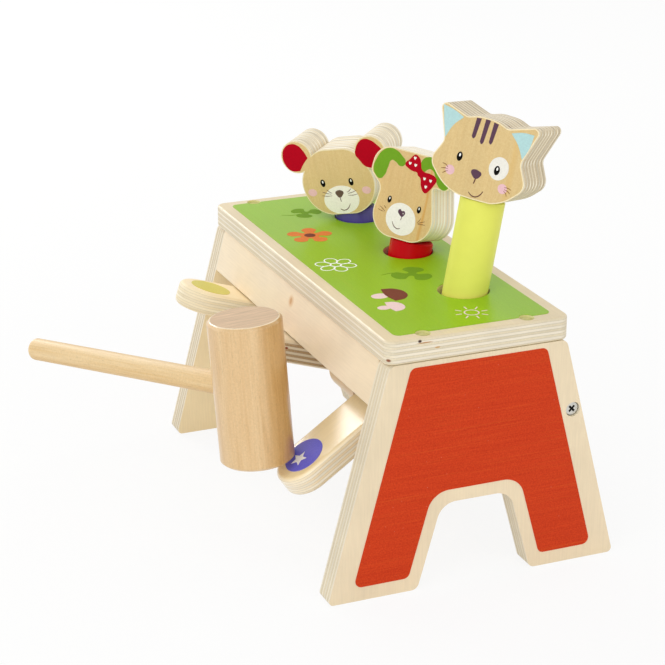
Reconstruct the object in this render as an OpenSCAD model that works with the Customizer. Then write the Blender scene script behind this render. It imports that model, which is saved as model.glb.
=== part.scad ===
// Pounding bench with three animals that pop up when their levers are struck with a mallet.
// X runs along the bench, the levers stick out towards -Y, and Z is up from the floor.

/* [Bench] */
// Length of the top board
top_length = 236; // [232:1:242]
// Width of the top board
top_width = 96.5; // [95:0.5:102]
// Height of the top board's upper face over the floor
bench_height = 131; // [129:0.5:136]
// Thickness of the plywood that the bench is sawn from
ply = 12; // [11.5:0.25:13]
// Radius of the top board's corners in plan
top_corner = 5.5; // [3:0.5:8]

/* [Legs] */
// Half the width of a leg under the top board
leg_top_half = 46.6; // [45.5:0.1:47]
// Half the width of a leg at the floor
leg_foot_half = 77.9; // [74:0.5:82]
// Radius of a leg's top corners
leg_top_corner = 4; // [2:0.5:6]
// Radius of the feet's outer corners
foot_corner = 2.4; // [2:0.2:6]
// Radius of the feet's corners beside the notch
notch_foot_corner = 4; // [3:0.5:7]
// Half the width of a leg's notch at the floor
notch_foot_half = 30.7; // [28:0.5:33]
// Half the width of a leg's notch at its top
notch_top_half = 18.4; // [16:0.2:21]
// Height of a leg's notch
notch_height = 44; // [40:0.5:48]
// Radius of the notch's upper corners
notch_corner = 10; // [6:0.5:12]

/* [Cross pieces] */
// Height of the front apron under the top board
apron_height = 23; // [21:0.2:24]
// Height of the rear rail, along its slope
rail_height = 23; // [18:0.5:30]
// Height of the rear rail's middle over the floor
rail_level = 82; // [78:0.5:86]
// Distance of the rail's screws from the legs' rear edges
rail_screw_edge = 4.7; // [4.5:0.1:6]
// Diameter of the axle that the levers turn on
axle_d = 6; // [5:0.2:6.6]
// Distance of the axle below the top board
axle_drop = 39; // [38:0.25:40]
// Distance of the axle in front of the bench's middle line
axle_forward = 24; // [23:0.25:25]
// Depth of the axle's blind holes in the legs
axle_seat = 8; // [5:0.5:9]
// Outer diameter of the sleeves that keep the levers apart
spacer_d = 24; // [20:0.5:26]
// Play between the middle lever and the sleeves on both sides of it
sleeve_play = 4; // [0.4:0.1:5]

/* [Levers] */
// Width of a lever
lever_width = 30; // [26:0.5:32]
// Thickness of a lever
lever_t = 12; // [11:0.25:12.5]
// Radius of a lever's arrises
lever_edge = 2.5; // [1:0.1:3]
// Length of a lever from the axle to its struck end
lever_outer = 67.3; // [64:0.1:70]
// Length of a lever from the axle to its lifting end
lever_inner = 57.75; // [56.5:0.25:58.5]
// Slope of the lever that is held down
struck_slope = 34.6; // [32:0.2:35]
// Diameter of the printed dot on a lever
dot_d = 21.5; // [16:0.5:24]
// Distance from the axle to the middle of the dot
dot_reach = 50.3; // [48:0.1:53]

/* [Pegs] */
// Place of the cat and the mouse, as a share of half the top board's length
end_share = 0.5551; // [0.54:0.0001:0.57]
// Distance of the peg holes behind the bench's middle line
peg_back = 16.5; // [15.5:0.25:17.5]
// Diameter of a peg
peg_d = 22.5; // [21:0.25:23]
// Length of a peg from its foot to the head
peg_length = 60; // [58:0.5:62]
// Radius of the edge of a peg's foot
peg_edge = 1.5; // [1:0.25:3]
// Width of the bevel round a peg's top
peg_bevel = 0.6; // [0.3:0.1:1.2]
// Diameter of the spigot that a peg carries its head on
spigot_d = 8; // [6:0.5:10]
// Length of the spigot
spigot_length = 12; // [8:0.5:16]
// Lean of the cat's and the dog's pegs in their loose holes
lean = 12.5; // [10:0.25:12.5]
// Direction of that lean, counted from +X
lean_way = 105.5; // [95:0.5:115]
// Lean of the mouse's peg
mouse_lean = 10.7; // [8:0.1:12]
// Direction of the mouse's lean
mouse_lean_way = 226.7; // [215:0.1:240]

/* [Heads] */
// Thickness of the animals' heads
head_t = 24; // [20:0.5:26]
// Direction that the cat faces, as a turn from -Y towards +X
cat_turn = 34.4; // [28:0.1:42]
// Direction that the dog faces
dog_turn = 34.4; // [28:0.1:42]
// Direction that the mouse faces
mouse_turn = 43; // [38:0.1:50]
// Tilt of the cat's head in its own plane
cat_tilt = -3.6; // [-6:0.1:0]
// Tilt of the dog's head in its own plane
dog_tilt = -0.3; // [-3:0.1:2]
// Tilt of the mouse's head in its own plane
mouse_tilt = -0.2; // [-3:0.1:2]
// Upward look of the cat, against its peg
cat_pitch = -2.1; // [-4:0.1:2]
// Upward look of the dog, against its peg
dog_pitch = 1.5; // [-2:0.1:4]
// Upward look of the mouse, against its peg
mouse_pitch = -2.8; // [-5:0.1:1]
// Sideways shift of the cat's head on its peg
cat_shift = -0.5; // [-2:0.1:2]
// Sideways shift of the dog's head on its peg
dog_shift = -1.6; // [-3:0.1:1]
// Sideways shift of the mouse's head on its peg
mouse_shift = -1; // [-2:0.1:2]

/* [Mallet] */
// Diameter of the mallet's head
mallet_d = 37; // [34:0.5:39]
// Length of the mallet's head
mallet_length = 73.7; // [70:0.5:78]
// Width of the bevel on the mallet's rims
mallet_bevel = 1.5; // [0.5:0.25:3]
// Diameter of the mallet's handle
handle_d = 11.6; // [10:0.1:13]
// Length of the handle from the head's axis to the free end
handle_length = 147.6; // [140:0.2:156]
// Radius of the edge at the handle's free end
handle_edge = 3; // [2:0.25:5]
// Depth of the handle's blind hole past the head's axis
handle_seat = 8; // [0:0.5:12]
// Distance of the mallet from the struck lever's middle line
mallet_aside = 10.3; // [8:0.1:12]
// Distance of the mallet's foot in front of the bench's middle line
mallet_forward = 89.3; // [87:0.1:91]
// Lean of the mallet's head
mallet_lean = 5.1; // [4:0.1:6]
// Direction of the mallet's lean
mallet_lean_way = 221.5; // [210:0.5:235]
// Direction that the handle points in
handle_way = 211; // [205:0.5:217]

/* [Prints and screws] */
// Thickness of the printed films
print_t = 0.2; // [0.1:0.05:0.4]
// Bare margin round the top print
top_margin = 7; // [5.8:0.1:9]
// Corner radius of the prints
print_corner = 3.5; // [2:0.5:5]
// Bare margin beside a leg's print
leg_print_side = 11.4; // [10.2:0.2:13]
// Bare margin over a leg's print
leg_print_top = 2.4; // [2:0.2:6]
// Bare margin under a leg's print
leg_print_foot = 7.2; // [5:0.2:10]
// Bare margin round a leg's notch
leg_print_notch = 6.7; // [4:0.1:8]
// Radius of a leg print's corners over the notch
leg_print_arch = 11.5; // [8:0.5:16]
// Diameter of the screws' shanks
screw_d = 3.6; // [3:0.1:4]
// Diameter of the screws' heads
screw_head_d = 6.6; // [6:0.1:7]
// Height of the screws' heads
screw_head_t = 2.4; // [2:0.1:2.8]
// Depth of the top screws' recesses
top_screw_sink = 5.2; // [4:0.1:6]
// Depth of the rail screws' recesses
rail_screw_sink = 3.6; // [3:0.1:5]
// Length of the screws under their heads
screw_length = 32; // [26:0.5:38]
// Distance of the top screws from the bench's middle line
screw_side = 27.3; // [24:0.1:30]
// Width of a driver slot
slot_w = 1.15; // [0.8:0.05:1.3]
// Length of a driver slot
slot_length = 4; // [3:0.1:5]
// Depth of the driver slots
slot_depth = 1.6; // [1:0.1:1.9]

/* [Clearances] */
// Radial play of a lever on the axle
axle_play = 0.08; // [0.05:0.01:0.1]
// Radial room of a glued or screwed round joint
fit_room = 0.05; // [0.03:0.01:0.08]
// Room between a leaning peg and the rim of its hole
hole_room = 0.3; // [0.3:0.05:0.6]
// Room beside each lever
side_room = 0.4; // [0.3:0.05:0.6]
// Room between a raised lever and the apron
stop_room = 0.4; // [0.35:0.05:0.8]
// Room between a lowered peg and its lever
foot_room = 0.5; // [0.4:0.05:0.8]
// Room between a lifted peg and its lever's tip
lift_room = 0.8; // [0.7:0.05:1.5]
// Room between the mallet and the struck lever
strike_room = 0.4; // [0.3:0.05:0.8]
// Radial room round a screw's head
head_room = 0.45; // [0.3:0.05:0.6]

/* [Hidden] */
$fn = 64;
// Overshoot of a cut past the face it opens
cut = 1;
// How far a rounded corner's circle laps over the edges beside it, so that they cross cleanly
corner_lap = 0.004;
// How far a rounded corner's slice runs on past its arc
corner_run = 0.6;

birch = "#ecd9ae";
beech = "#dcb883";
grass = "#8fb82d";
tile_red = "#cf4020";
lemon = "#e6e96b";
crimson = "#b00018";
violet = "#4b3e8c";
steel = "#c8c8c8";

// Halves of the heads from the chin up to the crown, as [distance from the middle line, height, radius]
cat_right = [
    [14.5, 0.45, 24], [27.2, 13.1, 6], [21.5, 24.4, 5], [29.2, 44.5, 2.6], [10.8, 38.7, 4], [5, 40.9, 18]
];
cat_left = [
    [14.5, 0.45, 24], [27.2, 13.1, 6], [21.2, 24.4, 5], [28.2, 43.7, 2.6], [11.7, 38.8, 4], [5, 40.9, 18]
];
dog_right = [[20.3, 0.2, 12], [13.4, 30.9, 1.5], [24, 30.3, 4], [22.9, 46, 10]];
dog_left = [[20.3, 0.2, 12], [16.2, 24.8, 6], [24, 31.6, 4.5], [22.9, 46, 10]];
mouse_half = [[18.6, 0.35, 17], [22.3, 20.5, 15], [13, 37.4, 14]];
// Middle and radius of the mouse's round ear
mouse_ear = [22.1, 34.3, 9.1];

leg_height = bench_height - ply;
leg_slope = (leg_foot_half - leg_top_half) / leg_height;
leg_angle = atan(leg_slope);
leg_inner_x = top_length / 2 - ply;
// Distance between neighbouring animals
peg_pitch = end_share * top_length / 2;
notch_slope = (notch_foot_half - notch_top_half) / notch_height;
axle_y = -axle_forward;
axle_z = leg_height - axle_drop;
rail_y = leg_half(rail_level) - ply / 2 / cos(leg_angle);
rail_screw_y = leg_half(rail_level) - rail_screw_edge / cos(leg_angle);

// A lever stops against the lower front edge of the apron
apron_foot = [-leg_half(leg_height - apron_height), leg_height - apron_height];
stop_arm = norm([apron_foot[0] - axle_y, apron_foot[1] - axle_z]);
stop_bearing = atan2(axle_y - apron_foot[0], apron_foot[1] - axle_z);
raised_slope = acos((lever_t / 2 + stop_room) / stop_arm) - stop_bearing;

most_lean = max(lean, mouse_lean);
peg_hole_d = peg_d / cos(most_lean) + (ply + print_t) * tan(most_lean) + 2 * hole_room;
peg_z = bench_height - ply / 2;
screw_x = top_length / 2 - ply / 2;

// Foot of the mallet's axis, standing on the struck lever
mallet_x = peg_pitch - mallet_aside;
mallet_axis = axis_of(mallet_lean, mallet_lean_way);
mallet_rim = (mallet_d / 2 - mallet_bevel) * rim_reach(mallet_axis, struck_slope);
mallet_foot = strike_room + print_t + lever_t / 2 + mallet_rim;
mallet_z = axle_z + mallet_foot / cos(struck_slope) - (mallet_forward - axle_forward) * tan(struck_slope);

// The whole toy's box, with the mallet, is centred on the origin
handle_axis = leaned([cos(handle_way), sin(handle_way), 0], mallet_lean, mallet_lean_way);
handle_end_y = -mallet_forward + mallet_axis[1] * mallet_length / 2
    + handle_axis[1] * (handle_length - handle_edge)
    - (handle_d / 2 - handle_edge) * sqrt(1 - pow(handle_axis[1], 2)) - handle_edge;
foot_end_y = leg_foot_half - foot_corner * (tan((90 + leg_angle) / 2) - 1);
centre_y = (handle_end_y + foot_end_y) / 2;

// Half the width of a leg at height z
function leg_half(z) = leg_top_half + (leg_height - z) * leg_slope;
// Half the width of a leg's notch at height z
function notch_half(z) = notch_foot_half - z * notch_slope;
// Direction of an axis that leans by an angle in a given direction
function axis_of(angle, way) = [sin(angle) * cos(way), sin(angle) * sin(way), cos(angle)];
// A vector turned by the lean that takes Z to axis_of(angle, way)
function leaned(v, angle, way) =
    let (k = [-sin(way), cos(way), 0])
    v * cos(angle) + cross(k, v) * sin(angle) + k * (k * v) * (1 - cos(angle));
// Upward normal of a lever whose lifting end is raised by a slope
function lever_normal(slope) = [0, -sin(slope), cos(slope)];
// How far a unit disc square to an axis reaches towards a lever
function rim_reach(axis, slope) = sqrt(1 - pow(axis * lever_normal(slope), 2));
// Middle of a peg's hole, seen from the axle
function hole_from_axle() = [0, peg_back - axle_y, peg_z - axle_z];
// Place of a peg's foot along its axis when it stands on the raised lever
function lowered(axis) =
    let (n = lever_normal(-raised_slope))
    (foot_room + lever_t / 2 + peg_d / 2 * rim_reach(axis, -raised_slope) - hole_from_axle() * n)
    / (axis * n);
// Place of a peg's foot along its axis when the struck lever's tip lifts it
function lifted(axis) =
    let (arm = lever_inner - lever_t / 2)
    let (tip = [0, arm * cos(struck_slope), arm * sin(struck_slope)])
    (tip - hole_from_axle()) * axis + lever_t / 2 + abs(axis[0]) * peg_d / 2 + lift_room;

// Corners of an outline are [x, y, radius]
function corner(p, i) = p[(i + len(p)) % len(p)];
function place(c) = [c[0], c[1]];
function heading(p, i) =
    let (d = place(corner(p, i + 1)) - place(corner(p, i))) d / norm(d);
function turn(p, i) =
    let (a = heading(p, i - 1), b = heading(p, i)) atan2(a[0] * b[1] - a[1] * b[0], a * b);
function trim(p, i) = corner(p, i)[2] * tan(abs(turn(p, i)) / 2);
function arc_start(p, i) = place(corner(p, i)) - heading(p, i - 1) * trim(p, i);
function arc_end(p, i) = place(corner(p, i)) + heading(p, i) * trim(p, i);
function arc_middle(p, i) =
    let (a = heading(p, i - 1)) arc_start(p, i) + sign(turn(p, i)) * corner(p, i)[2] * [-a[1], a[0]];
// An outline from the corners of its right and left halves, both counted outward from the middle line
function joined(right, left) =
    concat(right, [for (i = [len(left) - 1:-1:0]) [-left[i][0], left[i][1], left[i][2]]]);

// A symmetric outline, from the corners of one half
function mirrored(half) = joined(half, half);

// The slice of a corner's circle that spans its arc and runs on a little past both ends of it
module rounding(p, i) {
    middle = arc_middle(p, i);
    first = arc_start(p, i) - corner_run * heading(p, i - 1);
    last = arc_end(p, i) + corner_run * heading(p, i);
    translate(middle) intersection() {
        circle(r = corner(p, i)[2] + corner_lap);
        polygon([[0, 0], for (v = [first, place(corner(p, i)), last]) 2 * (v - middle)]);
    }
}

// A flat shape through corners listed anticlockwise, each rounded to its own radius
module outline(p) {
    last = len(p) - 1;
    difference() {
        union() {
            polygon([for (i = [0:last]) each [arc_start(p, i), arc_end(p, i)]]);
            for (i = [0:last]) if (turn(p, i) > 0) rounding(p, i);
        }
        for (i = [0:last]) if (turn(p, i) < 0) rounding(p, i);
    }
}

module centred() {
    translate([0, -centre_y, 0]) children();
}

// Stands a flat shape drawn in Y and Z on the plane at x, with its thickness towards +X
module upright(x, thickness) {
    translate([x, 0, 0]) rotate([90, 0, 90]) linear_extrude(thickness) children();
}

module both_ends() {
    children();
    mirror([1, 0, 0]) children();
}

module leaning(angle, way) {
    rotate([0, 0, way]) rotate([0, angle, 0]) rotate([0, 0, -way]) children();
}

module at_hole(x, angle, way) {
    translate([x, peg_back, peg_z]) leaning(angle, way) children();
}

module at_axle(x, slope) {
    translate([x, axle_y, axle_z]) rotate([slope, 0, 0]) children();
}

module rod(length, d) {
    rotate([0, 90, 0]) cylinder(h = length, d = d, center = true);
}

module screw_places() {
    for (x = [-screw_x, screw_x], y = [-screw_side, screw_side])
        translate([x, y, bench_height - top_screw_sink]) children();
}

module rail_screw_places() {
    both_ends()
        translate([top_length / 2 - rail_screw_sink, rail_screw_y, rail_level]) rotate([0, 90, 0]) children();
}

// Hole for a screw that points down from the origin, with a recess of a given depth over it
module screw_hole(sink) {
    translate([0, 0, -screw_length - cut]) cylinder(h = screw_length + 2 * cut, d = screw_d + 2 * fit_room);
    cylinder(h = sink + cut, d = screw_head_d + 2 * head_room);
}

module screw() {
    difference() {
        union() {
            translate([0, 0, -screw_length]) cylinder(h = screw_length, d = screw_d);
            cylinder(h = screw_head_t, d = screw_head_d);
        }
        for (a = [45, 135])
            rotate([0, 0, a])
                translate([0, 0, screw_head_t])
                    cube([slot_length, slot_w, 2 * slot_depth], center = true);
    }
}

module board_outline(length, width, r) {
    outline(mirrored([[length / 2, -width / 2, r], [length / 2, width / 2, r]]));
}

module top_board() {
    color(birch) centred() difference() {
        translate([0, 0, leg_height]) linear_extrude(ply) board_outline(top_length, top_width, top_corner);
        for (i = [-1:1])
            translate([i * peg_pitch, peg_back, leg_height - cut])
                cylinder(h = ply + 2 * cut, d = peg_hole_d);
        screw_places() screw_hole(top_screw_sink);
    }
}

module leg() {
    color(birch) centred() difference() {
        upright(leg_inner_x, ply)
            outline(mirrored([
                [notch_top_half, notch_height, notch_corner],
                [notch_foot_half, 0, notch_foot_corner],
                [leg_foot_half, 0, foot_corner],
                [leg_top_half, leg_height, leg_top_corner]
            ]));
        translate([leg_inner_x, axle_y, axle_z]) rod(2 * axle_seat, axle_d + 2 * fit_room);
        screw_places() screw_hole(top_screw_sink);
        rail_screw_places() screw_hole(rail_screw_sink);
    }
}

module near_leg() {
    leg();
}

module far_leg() {
    mirror([1, 0, 0]) leg();
}

module front_apron() {
    foot = leg_height - apron_height;
    back = ply / cos(leg_angle);
    color(birch) centred()
        upright(-leg_inner_x, 2 * leg_inner_x)
            polygon([
                [-leg_half(foot), foot],
                [-leg_half(foot) + ply * cos(leg_angle), foot - ply * sin(leg_angle)],
                [-leg_top_half + back, leg_height],
                [-leg_top_half, leg_height]
            ]);
}

module rear_rail() {
    color(birch) centred() difference() {
        translate([0, rail_y, rail_level]) rotate([leg_angle, 0, 0])
            cube([2 * leg_inner_x, ply, rail_height], center = true);
        rail_screw_places() screw_hole(rail_screw_sink);
    }
}

module axle() {
    color(beech) centred()
        translate([0, axle_y, axle_z]) rod(2 * (leg_inner_x + axle_seat - fit_room), axle_d);
}

// A sleeve on the axle, from x0 to x1
module spacer(x0, x1) {
    translate([(x0 + x1) / 2, axle_y, axle_z]) difference() {
        rod(x1 - x0, spacer_d);
        rod(x1 - x0 + 2 * cut, axle_d + 2 * fit_room);
    }
}

module inner_spacers() {
    half = lever_width / 2;
    color(beech) centred() both_ends() spacer(half + sleeve_play, peg_pitch - half - side_room);
}

module end_spacers() {
    color(beech) centred() both_ends() spacer(peg_pitch + lever_width / 2 + side_room, leg_inner_x);
}

module top_screws() {
    color(steel) centred() screw_places() screw();
}

module rail_screws() {
    color(steel) centred() rail_screw_places() screw();
}

module top_print() {
    color(grass) centred() difference() {
        translate([0, 0, bench_height])
            linear_extrude(print_t)
                board_outline(top_length - 2 * top_margin, top_width - 2 * top_margin, print_corner);
        for (i = [-1:1])
            translate([i * peg_pitch, peg_back, bench_height - cut]) cylinder(h = 2 * cut, d = peg_hole_d);
        screw_places() screw_hole(top_screw_sink);
    }
}

module leg_print() {
    top = leg_height - leg_print_top;
    arch = notch_height + leg_print_notch;
    notch_side = leg_print_notch / cos(atan(notch_slope));
    color(tile_red) centred()
        upright(top_length / 2, print_t)
            outline(mirrored([
                [notch_half(arch) + notch_side, arch, leg_print_arch],
                [notch_half(leg_print_foot) + notch_side, leg_print_foot, print_corner],
                [leg_half(leg_print_foot) - leg_print_side, leg_print_foot, print_corner],
                [leg_half(top) - leg_print_side, top, print_corner]
            ]));
}

module near_leg_print() {
    leg_print();
}

module far_leg_print() {
    mirror([1, 0, 0]) leg_print();
}

// Cross section of a lever, with soft arrises
module lever_section() {
    board_outline(lever_width, lever_t, lever_edge);
}

// A see-saw board with a round struck end and a bullnosed lifting end, bored for the axle
module lever() {
    end_y = -lever_outer + lever_width / 2;
    tip_y = lever_inner - lever_t / 2;
    difference() {
        union() {
            intersection() {
                translate([0, lever_inner + cut, 0]) rotate([90, 0, 0])
                    linear_extrude(lever_inner + cut - end_y) lever_section();
                union() {
                    translate([0, (end_y - cut + tip_y) / 2, 0])
                        cube([lever_width + cut, tip_y - end_y + cut, lever_t + cut], center = true);
                    translate([0, tip_y, 0]) rod(lever_width + cut, lever_t);
                }
            }
            translate([0, end_y, 0]) rotate([0, 0, 180])
                rotate_extrude(angle = 180) intersection() {
                    lever_section();
                    translate([0, -lever_t]) square([lever_width, 2 * lever_t]);
                }
        }
        rod(lever_width + 2 * cut, axle_d + 2 * axle_play);
    }
}

module dot() {
    translate([0, -dot_reach, lever_t / 2]) cylinder(h = print_t, d = dot_d);
}

module near_lever() {
    color(birch) centred() at_axle(peg_pitch, struck_slope) lever();
}

module middle_lever() {
    color(birch) centred() at_axle(0, -raised_slope) lever();
}

module far_lever() {
    color(birch) centred() at_axle(-peg_pitch, -raised_slope) lever();
}

module near_dot() {
    color(violet) centred() at_axle(peg_pitch, struck_slope) dot();
}

module middle_dot() {
    color(crimson) centred() at_axle(0, -raised_slope) dot();
}

module far_dot() {
    color(lemon) centred() at_axle(-peg_pitch, -raised_slope) dot();
}

// A turned peg with a rounded foot, a bevelled top and a spigot for the head
module peg(foot) {
    inner = peg_d / 2 - peg_edge;
    translate([0, 0, foot]) {
        rotate_extrude() {
            translate([0, peg_edge]) square([peg_d / 2, peg_length - peg_edge - peg_bevel]);
            translate([0, peg_length - peg_bevel])
                polygon([[0, 0], [peg_d / 2, 0], [peg_d / 2 - peg_bevel, peg_bevel], [0, peg_bevel]]);
            square([inner, peg_edge]);
            intersection() {
                translate([inner, peg_edge]) circle(r = peg_edge);
                translate([inner, 0]) square(peg_edge);
            }
        }
        translate([0, 0, peg_length - cut]) cylinder(h = spigot_length + cut, d = spigot_d);
    }
}

// A sawn head that stands on its peg's flat top and is drilled for the spigot
module head(foot, spin, tilt, pitch, shift) {
    reach = 2 * peg_length;
    translate([0, 0, foot + peg_length]) rotate([0, 0, spin]) difference() {
        rotate([90 - pitch, 0, 0])
            linear_extrude(head_t, center = true)
                translate([shift, 0]) rotate(tilt) children();
        translate([-reach / 2, -reach / 2, -reach]) cube(reach);
        translate([0, 0, -cut]) cylinder(h = spigot_length + 2 * cut, d = spigot_d + 2 * fit_room);
    }
}

module mouse_outline() {
    outline(mirrored(mouse_half));
    for (side = [-1, 1]) translate([side * mouse_ear[0], mouse_ear[1]]) circle(r = mouse_ear[2]);
}

module cat_peg() {
    color(lemon) centred() at_hole(peg_pitch, lean, lean_way) peg(lifted(axis_of(lean, lean_way)));
}

module cat_head() {
    color(birch) centred() at_hole(peg_pitch, lean, lean_way)
        head(lifted(axis_of(lean, lean_way)), cat_turn, cat_tilt, cat_pitch, cat_shift)
            outline(joined(cat_right, cat_left));
}

module dog_peg() {
    color(crimson) centred() at_hole(0, lean, lean_way) peg(lowered(axis_of(lean, lean_way)));
}

module dog_head() {
    color(birch) centred() at_hole(0, lean, lean_way)
        head(lowered(axis_of(lean, lean_way)), dog_turn, dog_tilt, dog_pitch, dog_shift)
            outline(joined(dog_right, dog_left));
}

module mouse_peg() {
    color(violet) centred() at_hole(-peg_pitch, mouse_lean, mouse_lean_way)
        peg(lowered(axis_of(mouse_lean, mouse_lean_way)));
}

module mouse_head() {
    color(birch) centred() at_hole(-peg_pitch, mouse_lean, mouse_lean_way)
        head(lowered(axis_of(mouse_lean, mouse_lean_way)), mouse_turn, mouse_tilt, mouse_pitch, mouse_shift)
            mouse_outline();
}

module at_mallet() {
    translate([mallet_x, -mallet_forward, mallet_z]) leaning(mallet_lean, mallet_lean_way) children();
}

module along_handle() {
    translate([0, 0, mallet_length / 2]) rotate([0, 90, handle_way]) children();
}

module mallet_head() {
    color(beech) centred() at_mallet() difference() {
        rotate_extrude()
            polygon([
                [0, 0],
                [mallet_d / 2 - mallet_bevel, 0],
                [mallet_d / 2, mallet_bevel],
                [mallet_d / 2, mallet_length - mallet_bevel],
                [mallet_d / 2 - mallet_bevel, mallet_length],
                [0, mallet_length]
            ]);
        along_handle()
            translate([0, 0, -handle_seat]) cylinder(h = mallet_d + handle_seat, d = handle_d + 2 * fit_room);
    }
}

module mallet_handle() {
    inner = handle_d / 2 - handle_edge;
    color(beech) centred() at_mallet() along_handle()
        rotate_extrude() {
            translate([0, -handle_seat]) square([handle_d / 2, handle_length + handle_seat - handle_edge]);
            translate([0, handle_length - handle_edge]) square([inner, handle_edge]);
            intersection() {
                translate([inner, handle_length - handle_edge]) circle(r = handle_edge);
                translate([inner, handle_length - handle_edge]) square(handle_edge);
            }
        }
}

top_board();
near_leg();
far_leg();
front_apron();
rear_rail();
axle();
inner_spacers();
end_spacers();
top_screws();
rail_screws();
top_print();
near_leg_print();
far_leg_print();
near_lever();
middle_lever();
far_lever();
near_dot();
middle_dot();
far_dot();
cat_peg();
cat_head();
dog_peg();
dog_head();
mouse_peg();
mouse_head();
mallet_head();
mallet_handle();
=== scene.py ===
"""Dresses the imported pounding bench: plywood, prints, painted pegs, faces, light and camera."""

import math

import bmesh
import bpy
from mathutils import Matrix, Vector


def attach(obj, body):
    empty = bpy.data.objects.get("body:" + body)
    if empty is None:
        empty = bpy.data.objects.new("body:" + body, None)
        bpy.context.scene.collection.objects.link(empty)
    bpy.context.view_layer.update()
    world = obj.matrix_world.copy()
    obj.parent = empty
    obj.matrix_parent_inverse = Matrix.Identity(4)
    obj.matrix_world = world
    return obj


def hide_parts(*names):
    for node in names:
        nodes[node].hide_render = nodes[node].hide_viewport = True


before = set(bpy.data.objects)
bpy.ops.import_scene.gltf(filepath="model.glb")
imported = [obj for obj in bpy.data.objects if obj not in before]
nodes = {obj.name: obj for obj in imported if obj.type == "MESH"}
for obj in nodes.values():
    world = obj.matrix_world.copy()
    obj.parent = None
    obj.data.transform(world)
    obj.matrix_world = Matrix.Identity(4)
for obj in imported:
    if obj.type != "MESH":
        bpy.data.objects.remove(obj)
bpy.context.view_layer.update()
scene = bpy.context.scene

# All lengths below are millimetres in the part's own frame. Meshes become metres when they are placed.
MM = 0.001

# Sizes of the bench, as in the part's source
BENCH_Y = 46.8947
BENCH_HEIGHT = 131.0
PLY = 12.0
LEG_HEIGHT = BENCH_HEIGHT - PLY
TOP_HALF_LENGTH = 118.0
TOP_HALF_WIDTH = 48.25
LEG_INNER_X = 106.0
LEG_TOP_HALF = 46.6
LEG_FOOT_HALF = 77.9
PRINT_T = 0.2
RAIL_LEVEL = 82.0
RAIL_SCREW_EDGE = 4.7
SCREW_X = 112.0
SCREW_SIDE = 27.3
SCREW_HEAD_T = 2.4
TOP_SCREW_SINK = 5.2
RAIL_SCREW_SINK = 3.6
AXLE_Y = -24.0
AXLE_Z = 80.0
AXLE_RADIUS = 3.0
LEVER_T = 12.0
STRUCK_SLOPE = 34.6
RAISED_SLOPE = -17.9354
DOT_REACH = 50.3
PEG_PITCH = 65.5
PEG_BACK = 16.5
PEG_MIDDLE_Z = BENCH_HEIGHT - PLY / 2
PEG_LENGTH = 60.0
HEAD_T = 24.0
MALLET_FOOT = (55.2, -89.3, 53.7385)
MALLET_LEAN = (5.1, 221.5)
MALLET_MIDDLE = 36.85
MALLET_RADIUS = 18.5
HANDLE_WAY = 211.0
HANDLE_RADIUS = 5.8

# The rear rail and its screws lie along the legs' sloping rear edges
LEG_SLOPE = (LEG_FOOT_HALF - LEG_TOP_HALF) / LEG_HEIGHT
LEG_ANGLE = math.atan(LEG_SLOPE)
LEG_HALF_AT_RAIL = LEG_TOP_HALF + LEG_SLOPE * (LEG_HEIGHT - RAIL_LEVEL)
RAIL_Y = round(LEG_HALF_AT_RAIL - PLY / 2 / math.cos(LEG_ANGLE), 3)
RAIL_SCREW_Y = LEG_HALF_AT_RAIL - RAIL_SCREW_EDGE / math.cos(LEG_ANGLE)

# The boards have nine plies, and the thick heads more
NINE_PLIES = 9
PLY_T = PLY / NINE_PLIES
HEAD_PLIES = 15
HEAD_PLY_T = HEAD_T / HEAD_PLIES

# Where each animal's peg stands and how its head is turned on it
HEADS = {
    "cat": {
        "x": PEG_PITCH, "lean": (12.5, 105.5), "foot": -7.356,
        "turn": 34.4, "tilt": -3.6, "pitch": -2.1, "shift": -0.5,
    },
    "dog": {
        "x": 0.0, "lean": (12.5, 105.5), "foot": -47.795,
        "turn": 34.4, "tilt": -0.3, "pitch": 1.5, "shift": -1.6,
    },
    "mouse": {
        "x": -PEG_PITCH, "lean": (10.7, 226.7), "foot": -48.953,
        "turn": 43.0, "tilt": -0.2, "pitch": -2.8, "shift": -1.0,
    },
}


# Places


def polar(reach, degrees):
    a = math.radians(degrees)
    return reach * math.cos(a), reach * math.sin(a)


def moved(x, y, z):
    return Matrix.Translation((x, y, z))


def turned(axis, degrees):
    return Matrix.Rotation(math.radians(degrees), 4, axis)


def leaning(angle, way):
    return turned("Z", way) @ turned("Y", angle) @ turned("Z", -way)


def board(origin, grain, normal):
    """Frame of a board: x runs with the face veneer's grain and z through the plies."""
    across = Vector(normal).cross(Vector(grain))
    place = Matrix((grain, across, normal)).transposed().to_4x4()
    place.translation = origin
    return place


def lever_board(x, slope):
    run, rise = polar(1.0, slope)
    return board((x, BENCH_Y + AXLE_Y, AXLE_Z), (0, run, rise), (0, -rise, run))


def peg_place(animal):
    head = HEADS[animal]
    hole = moved(head["x"], BENCH_Y + PEG_BACK, PEG_MIDDLE_Z)
    return hole @ leaning(*head["lean"]) @ moved(0, 0, head["foot"])


def head_place(animal):
    """Frame of a head, in the middle of its thickness: x to the right, y up and z out of the face."""
    head = HEADS[animal]
    on_peg = peg_place(animal) @ moved(0, 0, PEG_LENGTH) @ turned("Z", head["turn"])
    upright = on_peg @ turned("X", 90 - head["pitch"])
    return upright @ moved(head["shift"], 0, 0) @ turned("Z", head["tilt"])


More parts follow.
